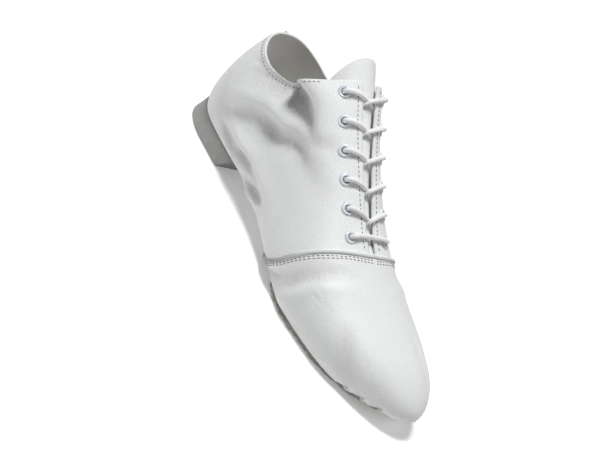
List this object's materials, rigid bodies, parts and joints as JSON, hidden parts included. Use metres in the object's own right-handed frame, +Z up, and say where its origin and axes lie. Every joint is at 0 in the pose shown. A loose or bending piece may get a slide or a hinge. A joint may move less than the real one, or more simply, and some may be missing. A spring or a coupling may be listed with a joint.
{
  "type": "dance shoe",
  "caption": "Low lace-up split-sole leather dance shoe with a soft hollow upper, suede forefoot pad and low rubber heel.",
  "frame": {"origin": "middle of the shoe's outer length and width, on the floor it stands on", "axes": "+X towards the toe, +Y towards the inner side of the foot, +Z up"},
  "size_m": [0.2504, 0.0844, 0.11],
  "materials": {
    "white_leather": "smooth white, slight sheen",
    "lining": "matt white lining",
    "sole_suede": "grey-brown suede, worn edge",
    "heel_rubber": "matt grey rubber",
    "eyelet_enamel": "white enamel",
    "lace_cotton": "round white cord",
    "piping_leather": "light grey piping"
  },
  "bodies": {
    "root": {"upper": "white_leather", "tongue": "white_leather", "insole": "lining", "forefoot_sole": "sole_suede", "heel": "heel_rubber", "vamp_piping": "piping_leather", "back_piping": "piping_leather", "eyelet_outer_1": "eyelet_enamel", "eyelet_outer_2": "eyelet_enamel", "eyelet_outer_3": "eyelet_enamel", "eyelet_outer_4": "eyelet_enamel", "eyelet_outer_5": "eyelet_enamel", "eyelet_outer_6": "eyelet_enamel", "eyelet_inner_1": "eyelet_enamel", "eyelet_inner_2": "eyelet_enamel", "eyelet_inner_3": "eyelet_enamel", "eyelet_inner_4": "eyelet_enamel", "eyelet_inner_5": "eyelet_enamel", "eyelet_inner_6": "eyelet_enamel", "lace_bar": "lace_cotton", "lace_crossing_1": "lace_cotton", "lace_crossing_2": "lace_cotton", "lace_crossing_3": "lace_cotton", "lace_crossing_4": "lace_cotton", "lace_crossing_5": "lace_cotton"}
  },
  "joints": []
}
